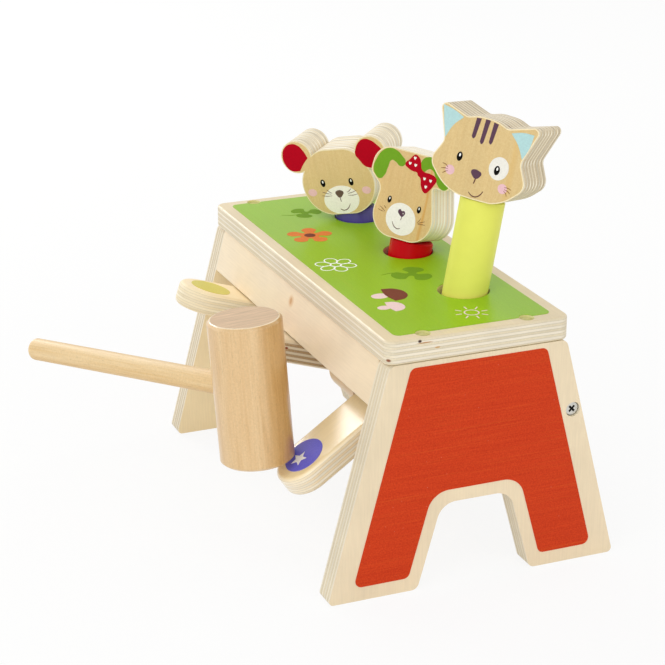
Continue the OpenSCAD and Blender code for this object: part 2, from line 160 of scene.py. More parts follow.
TOP_BOARD = board((0, BENCH_Y, LEG_HEIGHT), (1, 0, 0), (0, 0, 1))
NEAR_LEG = board((LEG_INNER_X, BENCH_Y, 0), (0, 0, 1), (1, 0, 0))
FAR_LEG = board((-LEG_INNER_X, BENCH_Y, 0), (0, 0, 1), (-1, 0, 0))
FORWARD = (0, -math.cos(LEG_ANGLE), math.sin(LEG_ANGLE))
REARWARD = (0, math.cos(LEG_ANGLE), math.sin(LEG_ANGLE))
APRON = board((0, BENCH_Y - LEG_TOP_HALF, LEG_HEIGHT), (1, 0, 0), FORWARD)
REAR_RAIL = board((0, BENCH_Y + RAIL_Y, RAIL_LEVEL), (1, 0, 0), REARWARD)
NEAR_LEVER = lever_board(PEG_PITCH, STRUCK_SLOPE)
MIDDLE_LEVER = lever_board(0, RAISED_SLOPE)
FAR_LEVER = lever_board(-PEG_PITCH, RAISED_SLOPE)
AXLE = moved(0, BENCH_Y + AXLE_Y, AXLE_Z) @ turned("Y", 90)
MALLET = moved(MALLET_FOOT[0], BENCH_Y + MALLET_FOOT[1], MALLET_FOOT[2]) @ leaning(*MALLET_LEAN)
HANDLE = MALLET @ moved(0, 0, MALLET_MIDDLE) @ turned("Z", HANDLE_WAY) @ turned("Y", 90)


# Materials


def linear(colour):
    """Linear RGBA of an sRGB hex colour."""
    channels = [int(colour[i:i + 2], 16) / 255 for i in (1, 3, 5)]
    return [c / 12.92 if c <= 0.04045 else ((c + 0.055) / 1.055) ** 2.4 for c in channels] + [1.0]


def add(owner, kind, inputs=(), out=None, **settings):
    """Adds a node with its settings, and fills its inputs with values or other nodes' outputs.

    Gives the node's output of the name asked for, or else the first of those in use.
    """
    node = owner.node_tree.nodes.new("ShaderNode" + kind)
    for name, value in settings.items():
        setattr(node, name, value)
    for key, value in dict(inputs).items():
        if isinstance(value, bpy.types.NodeSocket):
            owner.node_tree.links.new(value, node.inputs[key])
        else:
            node.inputs[key].default_value = value
    if out:
        return node.outputs[out]
    return next((socket for socket in node.outputs if socket.enabled), None)


# Settings of a mix node that multiplies two colours. The share of a mix node's second value is its input
# 0. The two values are inputs 2 and 3 where they are numbers, and 6 and 7 where they are colours
MULTIPLIED = {"data_type": "RGBA", "blend_type": "MULTIPLY"}
# Most values of a noise lie in this range
NOISE_RANGE = {"From Min": 0.3, "From Max": 0.7}


def new_material(name):
    material = bpy.data.materials.new(name)
    material.use_nodes = True
    material.node_tree.nodes.clear()
    return material


def in_frame(material, place):
    """Object coordinates as millimetres in a piece's own frame."""
    where = add(material, "TexCoord", out="Object")
    origin = place.translation * MM
    return add(
        material, "Mapping",
        {"Vector": where, "Location": origin, "Rotation": place.to_euler(), "Scale": (MM, MM, MM)},
        vector_type="TEXTURE",
    )


def streaks(material, where, spacing, length, along, detail=4.0):
    """Noise drawn out along axis 0, 1 or 2, like grain. Spacing across it and length are millimetres."""
    scale = [1 / spacing] * 3
    scale[along] = 1 / length
    stretched = add(material, "Mapping", {"Vector": where, "Scale": scale})
    noise = {"Vector": stretched, "Scale": 1.0, "Detail": detail, "Roughness": 0.6}
    return add(material, "TexNoise", noise)


def reach_along(material, vector, axis):
    """How far a vector reaches along an axis, either way."""
    reach = add(material, "VectorMath", {0: vector, 1: axis}, operation="DOT_PRODUCT")
    return add(material, "Math", {0: reach}, operation="ABSOLUTE")


def varied(material, colour, noise, least, most):
    """A colour that a noise darkens and lightens, between two shares of it."""
    shade = add(material, "MapRange", {"Value": noise, **NOISE_RANGE, "To Min": least, "To Max": most})
    return add(material, "Mix", {0: 1.0, 6: colour, 7: shade}, **MULTIPLIED)


def finish_material(material, colour, roughness, height, depth, **shader):
    """Ends a material in one principled shader. Height bumps the surface by a depth in millimetres."""
    bump = add(material, "Bump", {"Height": height, "Strength": 1.0, "Distance": depth * MM})
    inputs = {"Base Color": colour, "Roughness": roughness, "Normal": bump}
    inputs.update({name.replace("_", " "): value for name, value in shader.items()})
    body = add(material, "BsdfPrincipled", inputs)
    add(material, "OutputMaterial", {"Surface": body})
    return material


def birch_plywood(
    piece, place, first, plies=NINE_PLIES, ply_t=PLY_T, long_grain="#ecdab9", edge_pale="#efe6d2",
    end_grain="#cdb993", glue=0.78, edge_tones=(0.94, 1.03), lacquer=0.0, flecks=(),
):
    """Rotary-cut birch veneers glued crosswise, sanded and clear lacquered.

    The eye sees calm pale faces with faint streaks, and edges where pale long-grain plies alternate
    with darker, speckled end-grain plies between thin glue lines. The plies are counted along the
    frame's z from the first one's outer face.
    """
    material = new_material(f"birch plywood, {piece}")
    where = in_frame(material, place)
    normal = add(material, "TexCoord", out="Normal")
    depth = add(material, "SeparateXYZ", {"Vector": where}, out="Z")
    # The plies wander a little over about 17 mm
    wander = add(material, "TexNoise", {"Vector": where, "Scale": 0.06, "Detail": 2.0})
    sway = add(material, "MapRange", {"Value": wander, "To Min": -0.14, "To Max": 0.14})
    from_face = add(material, "Math", {0: depth, 1: first}, operation="SUBTRACT")
    waved = add(material, "Math", {0: from_face, 1: sway}, operation="ADD")
    counted = add(material, "Math", {0: waved, 1: ply_t}, operation="DIVIDE")
    layers = add(material, "Clamp", {"Value": counted, "Min": 0.2, "Max": plies - 0.2})
    layer = add(material, "Math", {0: layers}, operation="FLOOR")
    crossed = add(material, "Math", {0: layer, 1: 2.0}, operation="MODULO")
    tone = add(material, "TexWhiteNoise", {"W": layer}, noise_dimensions="1D")

    # How squarely the surface cuts the fibres of the ply that shows there
    long_end = reach_along(material, normal, place.col[0].to_3d())
    cross_end = reach_along(material, normal, place.col[1].to_3d())
    end = add(material, "Mix", {0: crossed, 2: long_end, 3: cross_end})

    # Real fibres are finer than a pixel, so the streaks are drawn 0.9 mm apart to show in the render
    lengthways = streaks(material, where, 0.9, 16.0, 0)
    crossways = streaks(material, where, 0.9, 16.0, 1)
    grain = add(material, "Mix", {0: crossed, 2: lengthways, 3: crossways})
    # Clouds of about 29 mm, and pores that are drawn 0.45 mm wide to show
    clouds = add(material, "TexNoise", {"Vector": where, "Scale": 0.035, "Detail": 3.0})
    pores = add(material, "TexNoise", {"Vector": where, "Scale": 2.2, "Detail": 3.0})
    speckle = add(
        material, "MapRange", {"Value": pores, "From Min": 0.35, "From Max": 0.65, "To Min": 0.55}
    )
    cut = add(material, "Math", {0: end, 1: speckle}, operation="MULTIPLY")
    flat = reach_along(material, normal, place.col[2].to_3d())
    along = add(material, "Mix", {0: flat, 6: linear(edge_pale), 7: linear(long_grain)}, data_type="RGBA")
    wood = add(material, "Mix", {0: cut, 6: along, 7: linear(end_grain)}, data_type="RGBA")
    streaked = add(material, "MapRange", {"Value": grain, **NOISE_RANGE, "To Min": 0.955, "To Max": 1.03})
    clouded = add(material, "MapRange", {"Value": clouds, **NOISE_RANGE, "To Min": 0.94, "To Max": 1.03})
    # Neighbouring plies come from different logs, which shows on the edges
    face_tone = add(material, "MapRange", {"Value": tone, "To Min": 0.94, "To Max": 1.03})
    edge_tone = add(
        material, "MapRange", {"Value": tone, "To Min": edge_tones[0], "To Max": edge_tones[1]}
    )
    toned = add(material, "Mix", {0: flat, 2: edge_tone, 3: face_tone})
    shade = add(material, "Math", {0: streaked, 1: clouded}, operation="MULTIPLY")
    shade = add(material, "Math", {0: shade, 1: toned}, operation="MULTIPLY")

    # Glue lines
    part = add(material, "Math", {0: layers}, operation="FRACT")
    off_middle = add(material, "Math", {0: part, 1: 0.5}, operation="SUBTRACT")
    to_seam = add(material, "Math", {0: off_middle}, operation="ABSOLUTE")
    seam = add(
        material, "MapRange",
        {"Value": to_seam, "From Min": 0.36, "From Max": 0.5, "To Min": 1.0, "To Max": glue},
    )
    shade = add(material, "Math", {0: shade, 1: seam}, operation="MULTIPLY")
    colour = add(material, "Mix", {0: 1.0, 6: wood, 7: shade}, **MULTIPLIED)

    # Small dark knots and splits, each at its own place
    for spot, size, stain in flecks:
        apart = add(material, "VectorMath", {0: where, 1: spot}, operation="SUBTRACT")
        scaled = add(material, "VectorMath", {0: apart, 1: size}, operation="DIVIDE")
        away = add(material, "VectorMath", {0: scaled}, operation="LENGTH")
        mark = add(
            material, "MapRange",
            {"Value": away, "From Min": 0.6, "From Max": 1.1, "To Min": 1.0, "To Max": 0.0},
        )
        colour = add(material, "Mix", {0: mark, 6: colour, 7: linear(stain)}, data_type="RGBA")

    roughness = add(material, "MapRange", {"Value": end, "To Min": 0.34, "To Max": 0.6})
    height = add(material, "Mix", {0: end, 2: grain, 3: pores})
    return finish_material(
        material, colour, roughness, height, 0.05, IOR=1.45, Coat_Weight=lacquer, Coat_Roughness=0.2
    )


def face_veneer(name, place, tan, streak_tan, stain=None):
    """Birch face veneer, bare or under a warm tan screen tint as on the animals' faces.

    The eye sees an even tone with fine upright grain and a few darker streaks.
    """
    material = new_material(name)
    where = in_frame(material, place)
    fine = streaks(material, where, 0.7, 22.0, 1)
    broad = streaks(material, where, 4.5, 60.0, 1, detail=2.0)
    # Sanding grit of about 0.8 mm
    grit = add(material, "TexNoise", {"Vector": where, "Scale": 1.3, "Detail": 2.0})
    speckled = add(material, "Mix", {0: 0.6, 2: fine, 3: grit})
    share = add(material, "MapRange", {"Value": speckled, "From Min": 0.32, "From Max": 0.68})
    wood = add(material, "Mix", {0: share, 6: linear(tan), 7: linear(streak_tan)}, data_type="RGBA")
    colour = varied(material, wood, broad, 0.97, 1.03)
    if stain:
        # One resinous streak that runs down the veneer at x, with a soft edge on both sides
        x, width, hue, strength = stain
        across = add(material, "SeparateXYZ", {"Vector": where}, out="X")
        waver = add(material, "MapRange", {"Value": broad, "To Min": -2.5, "To Max": 2.5})
        bent = add(material, "Math", {0: across, 1: waver}, operation="ADD")
        off = add(material, "Math", {0: bent, 1: x}, operation="SUBTRACT")
        away = add(material, "Math", {0: off}, operation="ABSOLUTE")
        mark = add(
            material, "MapRange",
            {"Value": away, "From Min": 0.0, "From Max": width, "To Min": strength, "To Max": 0.0},
        )
        colour = add(material, "Mix", {0: mark, 6: colour, 7: linear(hue)}, data_type="RGBA")
    return finish_material(material, colour, 0.45, fine, 0.03, IOR=1.45)


def turned_beech(
    name, place, pale, dark, end_tone, radius, lacquer, shade_tint="#ffffff", shade_way=0.0,
    side_roughness=0.33,
):
    """Turned beech, sanded and clear lacquered.

    The eye sees warm honey wood with long soft streaks and short dark flecks on the sides, one side
    browner as painted shade, and a pinker, duller end grain crossed by fine lines.
    """
    material = new_material(name)
    where = in_frame(material, place)
    normal = add(material, "TexCoord", out="Normal")
    square = reach_along(material, normal, place.col[2].to_3d())
    end = add(material, "MapRange", {"Value": square, "From Min": 0.75, "From Max": 0.95})
    broad = streaks(material, where, 5.0, 90.0, 2, detail=3.0)
    fine = streaks(material, where, 0.8, 30.0, 2)
    flecks = streaks(material, where, 0.55, 4.5, 2, detail=1.0)
    mixed = add(material, "Mix", {0: 0.45, 2: broad, 3: fine})
    share = add(material, "MapRange", {"Value": mixed, "From Min": 0.3, "From Max": 0.72})
    side = add(material, "Mix", {0: share, 6: linear(pale), 7: linear(dark)}, data_type="RGBA")
    dark_fleck = add(
        material, "MapRange",
        {"Value": flecks, "From Min": 0.66, "From Max": 0.74, "To Min": 1.0, "To Max": 0.86},
    )
    side = add(material, "Mix", {0: 1.0, 6: side, 7: dark_fleck}, **MULTIPLIED)
    # Pores, drawn 0.9 mm wide to show
    grit = add(material, "TexNoise", {"Vector": where, "Scale": 1.1, "Detail": 2.0})
    side = varied(material, side, grit, 0.94, 1.05)
    # Painted shade: the side that the tint's way points to is browned by the tint, with an edge that wavers
    # with the streaks
    to_shaded_side = (*polar(1.0, shade_way), 0)
    inward = add(material, "VectorMath", {0: where, 1: to_shaded_side}, operation="DOT_PRODUCT")
    swayed = add(material, "MapRange", {"Value": broad, "To Min": -0.4 * radius, "To Max": 0.4 * radius})
    inward = add(material, "Math", {0: inward, 1: swayed}, operation="ADD")
    shaded_side = add(material, "MapRange", {"Value": inward, "From Min": 0.3 * radius, "From Max": radius})
    side = add(material, "Mix", {0: shaded_side, 6: side, 7: linear(shade_tint)}, **MULTIPLIED)
    # Growth rings cross the end as nearly straight lines, because the pith lies well outside the piece
    rings = streaks(material, where, 0.7, 14.0, 1, detail=3.0)
    end_wood = varied(material, linear(end_tone), rings, 0.76, 1.13)
    colour = add(material, "Mix", {0: end, 6: side, 7: end_wood}, data_type="RGBA")
    roughness = add(material, "MapRange", {"Value": end, "To Min": side_roughness, "To Max": 0.55})
    return finish_material(
        material, colour, roughness, fine, 0.04, IOR=1.48, Coat_Weight=lacquer, Coat_Roughness=0.08
    )


def screen_print(name, place, hue, shade_hue, along, roughness=0.42, sheen=0.12):
    """Satin screen ink pulled over sanded birch.

    The eye sees an even colour with a sandy mottle, which the wood's grain combs with fine streaks and a
    few long pale threads, and tiny pale pinholes.
    """
    material = new_material(name)
    where = in_frame(material, place)
    comb = streaks(material, where, 0.6, 35.0, along)
    # Sand of about 0.8 mm, and one pinhole in about 4.5 mm
    mottle = add(material, "TexNoise", {"Vector": where, "Scale": 1.3, "Detail": 3.0})
    pulled = add(material, "Mix", {0: 0.66, 2: comb, 3: mottle})
    share = add(material, "MapRange", {"Value": pulled, "From Min": 0.35, "From Max": 0.65})
    colour = add(material, "Mix", {0: share, 6: linear(shade_hue), 7: linear(hue)}, data_type="RGBA")
    holes = add(material, "TexVoronoi", {"Vector": where, "Scale": 0.22, "Randomness": 1.0})
    pinhole = add(
        material, "MapRange",
        {"Value": holes, "From Min": 0.03, "From Max": 0.06, "To Min": 0.16, "To Max": 0.0},
    )
    long_streaks = streaks(material, where, 0.5, 55.0, along, detail=1.0)
    thread = add(
        material, "MapRange",
        {"Value": long_streaks, "From Min": 0.6, "From Max": 0.76, "To Min": 0.0, "To Max": 0.07},
    )
    # The threads are golden, and bare wood shows in the pinholes
    colour = add(material, "Mix", {0: thread, 6: colour, 7: linear("#f0a83a")}, data_type="RGBA")
    colour = add(material, "Mix", {0: pinhole, 6: colour, 7: linear("#f2ead6")}, data_type="RGBA")
    return finish_material(material, colour, roughness, comb, 0.03, Specular_IOR_Level=sheen)


def gloss_paint(name, place, hue, roughness=0.2, gloss=0.3):
    """Sprayed nitrocellulose paint on a turned peg.

    The eye sees pure saturated colour with a soft gloss and the faint ripple of wood under the film.
    """
    material = new_material(name)
    where = in_frame(material, place)
    ripple = streaks(material, where, 1.6, 30.0, 2)
    # The film's thickness varies over about 8 mm
    mottle = add(material, "TexNoise", {"Vector": where, "Scale": 0.12, "Detail": 3.0})
    colour = varied(material, linear(hue), mottle, 0.98, 1.015)
    return finish_material(material, colour, roughness, ripple, 0.02, Specular_IOR_Level=gloss)


# Depths under a screw's face where the painted shade in its slots starts and where it is black
SLOT_SHADE_START = 0.15
SLOT_SHADE_FULL = 0.6


def zinc_steel(name, axis, level):
    """Pressed steel screws, bright zinc plated, whose heads face along an axis at a level.

    The eye sees a bright grey metal with dull blotches from the plating bath, and driver slots that
    are darkened to black as painted shade.
    """
    material = new_material(name)
    where = add(material, "TexCoord", out="Object")
    # Blotches of about 1.5 mm
    blotch = add(material, "TexNoise", {"Vector": where, "Scale": 0.65 / MM, "Detail": 4.0})
    bright = add(
        material, "Mix", {0: blotch, 6: linear("#b9b7af"), 7: linear("#eceae2")}, data_type="RGBA"
    )
    # Painted shade: the slots darken to black below the screw's face
    reach = reach_along(material, where, axis)
    shade_black_at, shade_start_at = (level - SLOT_SHADE_FULL) * MM, (level - SLOT_SHADE_START) * MM
    unshaded = add(
        material, "MapRange", {"Value": reach, "From Min": shade_black_at, "From Max": shade_start_at, "To Min": 0.03}
    )
    colour = add(material, "Mix", {0: 1.0, 6: bright, 7: unshaded}, **MULTIPLIED)
    roughness = add(material, "MapRange", {"Value": blotch, "To Min": 0.25, "To Max": 0.5})
    return finish_material(material, colour, roughness, blotch, 0.01, Metallic=1.0)


def ink(name, hue, roughness=0.55):
    """Opaque screen ink in a small motif: flat colour with a slight uneven lay."""
    material = new_material(name)
    where = add(material, "TexCoord", out="Object")
    # The lay varies over about 1 mm
    lay = add(material, "TexNoise", {"Vector": where, "Scale": 1.0 / MM, "Detail": 3.0})
    colour = varied(material, linear(hue), lay, 0.95, 1.04)
    return finish_material(material, colour, roughness, lay, 0.01, Specular_IOR_Level=0.06)


def dress(node, material):
    """Gives a CAD node its material."""
    nodes[node].data.materials.clear()
    nodes[node].data.materials.append(material)


# Pieces with softened arrises

# Corners closer than this are one corner
MERGE_REACH = 0.002
# Angles in degrees between two faces: below the first they are one face, over the second their edge
# may be an arris, and below the third they shade as one surface
ONE_FACE_ANGLE = 0.4
ARRIS_ANGLE = 40
SMOOTH_ANGLE = 32
# Least cosine to an axis for a face that looks along it, least for a front without the slivers of its
# rounding, and most for a face that is edge-on to the axis
SQUARE_ON = 0.99
FLAT_FRONT = 0.995
EDGE_ON = 0.5
# Facets across a rounded arris
ARRIS_STEPS = 4


def new_piece(name, mesh, materials, body):
    piece = bpy.data.objects.new(name, mesh)
    scene.collection.objects.link(piece)
    for material in materials:
        mesh.materials.append(material)
    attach(piece, body)
    return piece


def softened(node, body, place, roundings, materials, rim=0.0):
    """A copy of a CAD node with some of its arrises rounded, which stands for the node.

    Each rounding is a radius and a function that picks the edges for it from an edge's middle and
    its two faces' normals, in the piece's own frame. A rim sets off a band of that width round the
    face that looks along the frame's z.
    """
    shape = bmesh.new()
    shape.from_mesh(nodes[node].data)
    shape.transform(place.inverted() @ Matrix.Scale(1 / MM, 4))
    bmesh.ops.remove_doubles(shape, verts=shape.verts, dist=MERGE_REACH)
    one_face = math.radians(ONE_FACE_ANGLE)
    bmesh.ops.dissolve_limit(shape, angle_limit=one_face, verts=shape.verts, edges=shape.edges)
    for radius, picked in roundings:
        arrises = []
        for edge in shape.edges:
            if len(edge.link_faces) != 2 or edge.calc_face_angle() < math.radians(ARRIS_ANGLE):
                continue
            middle = (edge.verts[0].co + edge.verts[1].co) / 2
            if picked(middle, [face.normal for face in edge.link_faces]):
                arrises.append(edge)
        bmesh.ops.bevel(
            shape, geom=arrises, offset=radius, offset_type="OFFSET", segments=ARRIS_STEPS, profile=0.5,
            affect="EDGES", clamp_overlap=True, material=-1,
        )
    if rim:
        front = [face for face in shape.faces if face.normal.z > FLAT_FRONT]
        bmesh.ops.inset_region(shape, faces=front, thickness=rim, use_boundary=True, use_even_offset=True)
    for face in shape.faces:
        face.smooth = True
    for edge in shape.edges:
        edge.smooth = len(edge.link_faces) == 2 and edge.calc_face_angle() < math.radians(SMOOTH_ANGLE)
    shape.transform(Matrix.Scale(MM, 4) @ place)
    mesh = bpy.data.meshes.new(node + "_softened")
    shape.to_mesh(mesh)
    shape.free()
    mesh.materials.clear()
    piece = new_piece(node + "_softened", mesh, materials, body)
    evened = piece.modifiers.new("Even normals", "WEIGHTED_NORMAL")
    evened.keep_sharp = True
    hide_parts(node)
    return piece


def paint_faces(piece, material, picked):
    """Gives the faces that a function picks one of the piece's own materials."""
    index = piece.data.materials.find(material.name)
    for face in piece.data.polygons:
        if picked(face):
            face.material_index = index


# No rounding within this distance of a drilled hole's axis, or of the top board
HOLE_REACH = 4.6
TOP_REACH = 0.5
# Width of the band along the top board's outline that holds its arrises
TOP_BAND = 6.0
# Least distances from the mallet's axis of the edges round its ends and its sides
END_RIM_REACH = 12.0
SIDE_RIM_REACH = 18.2


def on_a_face(normals):
    """True where one of an edge's faces is the board's own face."""
    return any(abs(normal.z) > SQUARE_ON for normal in normals)


def leg_arris(middle, normals):
    """The arrises round a leg's outline, but not under the top board and not at its drilled holes."""
    drilled = [(AXLE_Z, abs(AXLE_Y)), (RAIL_LEVEL, RAIL_SCREW_Y)]
    clear = all(math.hypot(middle.x - x, abs(middle.y) - y) > HOLE_REACH for x, y in drilled)
    return on_a_face(normals) and clear and middle.x < LEG_HEIGHT - TOP_REACH


def outer_leg_arris(middle, normals):
    return leg_arris(middle, normals) and middle.z > PLY / 2


def inner_leg_arris(middle, normals):
    return leg_arris(middle, normals) and middle.z < PLY / 2


def top_arris(middle, normals):
    """The arrises round the top board's outline, but not those of its drilled holes."""
    at_screw = math.hypot(abs(middle.x) - SCREW_X, abs(middle.y) - SCREW_SIDE) < HOLE_REACH
    at_rim = abs(middle.x) > TOP_HALF_LENGTH - TOP_BAND or abs(middle.y) > TOP_HALF_WIDTH - TOP_BAND
    return on_a_face(normals) and at_rim and not at_screw


def face_arris(middle, normals):
    return on_a_face(normals)


def long_arris(middle, normals):
    """The arrises along a rail, not those at its ends."""
    return all(abs(normal.x) < EDGE_ON for normal in normals)


def end_rim(middle, normals):
    """The rim between an end of the mallet and its bevel."""
    return on_a_face(normals) and math.hypot(middle.x, middle.y) > END_RIM_REACH


def side_rim(middle, normals):
    """The rim between the mallet's bevel and its side."""
    return math.hypot(middle.x, middle.y) > SIDE_RIM_REACH


# Flat printed shapes and strokes

# Ink is sunk this deep, so that no gap shows under it
FILM_ROOT = 0.05
# Heights of the films of ink. What is printed later stands higher
FILM = 0.06
OVER_FILM = 0.1
EYE_FILM = 0.12
MARK_FILM = 0.13
GLINT_FILM = 0.15
LINE_FILM = 0.2
# Steps of a curve between two of its points
CURVE_STEPS = 8
# Marks a point of an outline as a sharp corner
CORNER = "corner"


def settle(name, mesh, place, level, ink_used, body):
    """Places a flat mesh drawn in millimetres on a plane and makes a piece of it."""
    mesh.transform(Matrix.Scale(MM, 4) @ place @ moved(0, 0, level))
    for face in mesh.polygons:
        face.use_smooth = False
    mesh.materials.clear()
    new_piece(name, mesh, [ink_used], body)


def drawn_curve(name, lines, dimensions, cyclic):
    """A curve through points, smooth but for the corners that are marked."""
    curve = bpy.data.curves.new(name, "CURVE")
    curve.dimensions = dimensions
    curve.resolution_u = CURVE_STEPS
    for line in lines:
        spline = curve.splines.new("BEZIER")
        spline.use_cyclic_u = cyclic
        spline.bezier_points.add(len(line) - 1)
        for knot, point in zip(spline.bezier_points, line):
            knot.co = (point[0], point[1], 0)
            kind = "VECTOR" if len(point) > 2 else "AUTO"
            knot.handle_left_type = kind
            knot.handle_right_type = kind
    return curve


def curve_mesh(name, curve):
    """A curve as a mesh. The curve itself is thrown away."""
    drawn = bpy.data.objects.new(name, curve)
    scene.collection.objects.link(drawn)
    bpy.context.view_layer.update()
    mesh = bpy.data.meshes.new_from_object(drawn.evaluated_get(bpy.context.evaluated_depsgraph_get()))
    bpy.data.objects.remove(drawn)
    mesh.name = name
    return mesh


def oval(x, y, width, height, lean=0.0, count=10):
    """Points round an ellipse."""
    c, s = polar(1.0, lean)
    points = []
    for i in range(count):
        across, along = polar(0.5, 360 * i / count)
        u, v = width * across, height * along
        points.append((x + u * c - v * s, y + u * s + v * c))
    return points


def shifted(outline, x, y, scale=1.0):
    return [(x + scale * p[0], y + scale * p[1], *p[2:]) for p in outline]


def closed(outline):
    return outline + outline[:1]


def flat_print(name, place, level, outlines, ink_used, body, film=FILM):
    """Filled shapes on a plane."""
    curve = drawn_curve(name, outlines, "2D", True)
    curve.fill_mode = "BOTH"
    curve.extrude = (film + FILM_ROOT) / 2
    mesh = curve_mesh(name, curve)
    settle(name, mesh, place, level + (film - FILM_ROOT) / 2, ink_used, body)


def strokes(name, place, level, lines, width, ink_used, body, film, taper):
    """Drawn lines on a plane: round-ended strokes that thin towards their ends."""
    curve = drawn_curve(name, lines, "3D", False)
    curve.bevel_depth = width / 2
    curve.bevel_resolution = 2
    curve.use_fill_caps = True
    for spline in curve.splines:
        spline.bezier_points[0].radius = taper
        spline.bezier_points[-1].radius = taper
    mesh = curve_mesh(name, curve)
    mesh.transform(Matrix.Diagonal((1, 1, 2 * film / width, 1)))
    settle(name, mesh, place, level, ink_used, body)


# Wood, paint and metal on the CAD nodes

near_leg_ply = birch_plywood("near leg", NEAR_LEG, 0.0, end_grain="#dccdaa")
# Painted light: the far leg's long grain is paler than the near leg's, for the shade that it stands in
far_leg_ply = birch_plywood("far leg", FAR_LEG, 0.0, long_grain="#fbe7bd")
top_ply = birch_plywood(
    "top board", TOP_BOARD, 0.0, long_grain="#e8d5b0", edge_pale="#f0e6d1", end_grain="#dfd1b0", glue=0.74,
    flecks=[
        ((TOP_HALF_LENGTH, -31.6, 10.6), (3.0, 1.1, 0.8), "#3a1c10"),
        ((TOP_HALF_LENGTH, -29.0, 9.6), (3.0, 4.5, 0.35), "#b98a52"),
        ((TOP_HALF_LENGTH, -22.4, 6.4), (3.0, 1.6, 0.45), "#c79a5c"),
        ((116.6, -47.2, 2.6), (1.6, 1.6, 0.9), "#8a4f2c"),
    ],
)
apron_ply = birch_plywood(
    "apron", APRON, -PLY, long_grain="#f3e1c2",
    flecks=[
        ((-2.2, -7.5, 0.0), (3.4, 3.4, 1.0), "#e6c79c"),
        ((-2.4, -7.6, 0.0), (1.5, 1.9, 1.0), "#d3a472"),
    ],
)
rail_ply = birch_plywood("rear rail", REAR_RAIL, -PLY / 2)
# Painted light: the near lever's long grain, edges and end grain are paler than the other boards'
near_lever_ply = birch_plywood(
    "near lever", NEAR_LEVER, -LEVER_T / 2, long_grain="#fae3b0", edge_pale="#fdf6e6", end_grain="#f6e2ba",
    glue=0.66, lacquer=1.0,
)
# The middle lever's end grain is darker, partly for its own dark plies and partly as painted shade for its
# shadowed side
middle_lever_ply = birch_plywood(
    "middle lever", MIDDLE_LEVER, -LEVER_T / 2, end_grain="#b08c58",
    flecks=[((-36.4, -15.0, 2.2), (1.1, 1.5, 0.7), "#8c3a1e")],
)
# Painted light: the far lever's long grain and edges are paler than the other boards'
far_lever_ply = birch_plywood(
    "far lever", FAR_LEVER, -LEVER_T / 2, long_grain="#ffeabf", edge_pale="#f5e9cd", end_grain="#ecdcb6",
    glue=0.76,
)
# Painted reflection: the recess walls get a paler, green-tinted plywood that stands in for the green
# print's light on them
recess_ply = birch_plywood("screw recesses, painted green reflection", TOP_BOARD, 0.0, edge_pale="#f6f2b6", end_grain="#e0d98c")

# Radii of the sanded arrises
TOP_ARRIS = 1.3
LEG_OUTER_ARRIS = 2.4
LEG_INNER_ARRIS = 0.8
APRON_ARRIS = 0.7
RAIL_ARRIS = 1.0
MALLET_ARRIS = 0.5
FACE_ARRIS = 0.6


def in_screw_recess(face):
    """True on the walls of the top screws' recesses, which get a painted green reflection."""
    at = TOP_BOARD.inverted() @ (face.center / MM)
    beside_screw = math.hypot(abs(at.x) - SCREW_X, abs(at.y) - SCREW_SIDE) < HOLE_REACH
    return beside_screw and abs(face.normal.z) < EDGE_ON


leg_roundings = [(LEG_OUTER_ARRIS, outer_leg_arris), (LEG_INNER_ARRIS, inner_leg_arris)]
top_roundings = [(TOP_ARRIS, top_arris)]
top = softened("top_board", "frame", TOP_BOARD, top_roundings, [top_ply, recess_ply])
paint_faces(top, recess_ply, in_screw_recess)
softened("near_leg", "frame", NEAR_LEG, leg_roundings, [near_leg_ply])
softened("far_leg", "frame", FAR_LEG, leg_roundings, [far_leg_ply])
softened("front_apron", "frame", APRON, [(APRON_ARRIS, long_arris)], [apron_ply])
softened("rear_rail", "frame", REAR_RAIL, [(RAIL_ARRIS, long_arris)], [rail_ply])
dress("near_lever", near_lever_ply)
dress("middle_lever", middle_lever_ply)
dress("far_lever", far_lever_ply)

# Painted shade browns the mallet's side that faces right of the camera
mallet_wood = turned_beech(
    "lacquered beech, mallet head", MALLET, "#e6c798", "#d4ac76", "#d0ad84", MALLET_RADIUS, 0.4,
    shade_tint="#e2cc9c", shade_way=62.0,
)
# Painted highlight: the bevel's two rims get a paler copy of the beech
rim_wood = turned_beech(
    "beech, mallet rims, painted highlight", MALLET, "#f6e4c2", "#ecd2a4", "#f0dcba", MALLET_RADIUS, 0.6
)
# Painted shade browns the handle's lower side
handle_wood = turned_beech(
    "lacquered beech, handle", HANDLE, "#efd6aa", "#d9b479", "#d6b791", HANDLE_RADIUS, 0.0,
    shade_tint="#f4e6c8", side_roughness=0.41,
)
axle_wood = turned_beech("lacquered beech, axle", AXLE, "#ecd3a6", "#d5ad75", "#d9b896", AXLE_RADIUS, 0.1)

# Cosines to the mallet's axis of the rim from side to bevel and of the rim from bevel to end
SIDE_RIM_TURN = (0.05, 0.68)
END_RIM_TURN = (0.74, 0.99)


def on_mallet_rim(face):
    """True on the two rims of the mallet's bevel, which are paler as a painted highlight."""
    squareness = abs(face.normal.dot(MALLET.col[2].to_3d()))
    return any(low < squareness < high for low, high in (SIDE_RIM_TURN, END_RIM_TURN))


mallet_roundings = [(MALLET_ARRIS, end_rim), (MALLET_ARRIS, side_rim)]
mallet = softened("mallet_head", "mallet", MALLET, mallet_roundings, [mallet_wood, rim_wood])
paint_faces(mallet, rim_wood, on_mallet_rim)
dress("mallet_handle", handle_wood)
for node in ("axle", "inner_spacers", "end_spacers"):
    dress(node, axle_wood)

